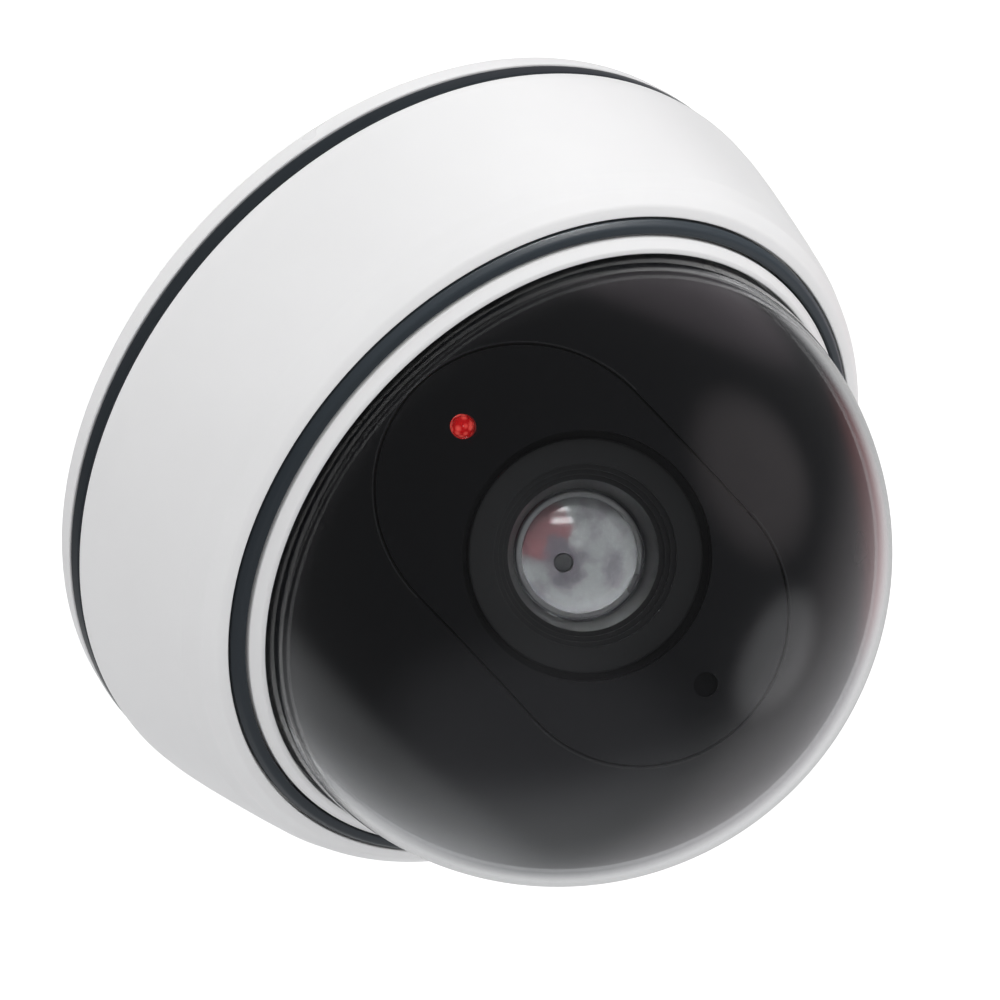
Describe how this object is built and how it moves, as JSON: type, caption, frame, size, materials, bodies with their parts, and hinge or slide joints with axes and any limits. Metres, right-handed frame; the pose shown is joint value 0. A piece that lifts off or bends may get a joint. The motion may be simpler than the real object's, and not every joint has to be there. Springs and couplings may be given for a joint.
{
  "type": "imitation dome camera",
  "caption": "White imitation dome camera: clear dome on a tapered housing, black turning turret with a round lens and a red flashing LED, battery base.",
  "frame": {"origin": "centre of the base plate's rear face", "axes": "+Z along the dome's axis to its crown, -Y the way the lens leans"},
  "size_m": [0.1202, 0.1202, 0.0855],
  "materials": {
    "white_plastic": "satin",
    "trim_plastic": "satin",
    "black_plastic": "fine satin",
    "clear_dome": "clear polished acrylic",
    "clear_lens": "clear polished acrylic",
    "rubber": "matt",
    "grey_plastic": "satin",
    "red_led": "translucent red epoxy",
    "circuit_board": "solder resist",
    "nylon": "natural",
    "cell_jacket": "printed sleeve, plain",
    "steel": "zinc plated",
    "red_insulation": "soft PVC",
    "black_insulation": "soft PVC"
  },
  "bodies": {
    "base": {"base_plate": "white_plastic", "housing_shell": "white_plastic", "rear_trim_ring": "trim_plastic", "front_trim_ring": "trim_plastic", "battery_tub": "black_plastic", "turntable_ring": "black_plastic", "switch_body": "black_plastic", "flasher_chip": "black_plastic", "timing_capacitor": "black_plastic", "led_resistor": "nylon", "dome_seal": "rubber", "flasher_board": "circuit_board", "cell_1": "cell_jacket", "cell_2": "cell_jacket", "contact_positive": "steel", "contact_negative": "steel", "contact_link": "steel", "contact_spring_1": "steel", "contact_spring_2": "steel", "lead_positive": "red_insulation", "switch_lead_1": "red_insulation", "led_tail_red": "red_insulation", "lead_negative": "black_insulation", "switch_lead_2": "black_insulation", "led_tail_black": "black_insulation", "case_screw_1": "steel", "case_screw_2": "steel", "case_screw_3": "steel", "case_screw_4": "steel", "tub_screw_1": "steel", "tub_screw_2": "steel", "turntable_screw_1": "steel", "turntable_screw_2": "steel", "turntable_screw_3": "steel"},
    "turret": {"turntable": "nylon", "turret_liner": "black_plastic", "turret_screw_1": "steel", "turret_screw_2": "steel", "turret_screw_3": "steel", "fascia": "black_plastic", "lens_bezel": "black_plastic", "front_lens": "clear_lens", "lens_barrel": "black_plastic", "iris_disc": "grey_plastic", "pupil": "black_plastic", "led": "red_led", "led_retainer": "nylon", "led_lead_red": "red_insulation", "led_lead_black": "black_insulation"},
    "dome": {"dome_cover": "clear_dome"},
    "bezel": {"bezel_ring": "white_plastic"},
    "door": {"battery_door": "white_plastic"},
    "slider": {"switch_slider": "black_plastic"}
  },
  "joints": [
    {"name": "turret_pan", "type": "hinge", "parent": "base", "child": "turret", "pos_m": [0, 0, 0.0252], "axis": [0, 0, 1], "range_deg": [-175, 175]},
    {"name": "dome_lift", "type": "slide", "parent": "base", "child": "dome", "axis": [0, 0, 1], "range_m": [0, 0.005]},
    {"name": "bezel_twist", "type": "hinge", "parent": "dome", "child": "bezel", "pos_m": [0, 0, 0.03], "axis": [0, 0, 1], "range_deg": [0, 30]},
    {"name": "battery_door_swing", "type": "hinge", "parent": "base", "child": "door", "pos_m": [0, 0.031, 0.0014], "axis": [1, 0, 0], "range_deg": [0, 110]},
    {"name": "switch_slide", "type": "slide", "parent": "base", "child": "slider", "axis": [1, 0, 0], "range_m": [0, 0.003]}
  ],
  "couplings": [
    {"joint": "dome_lift", "follows": "bezel_twist", "m_per_rad": 0.0095493}
  ]
}
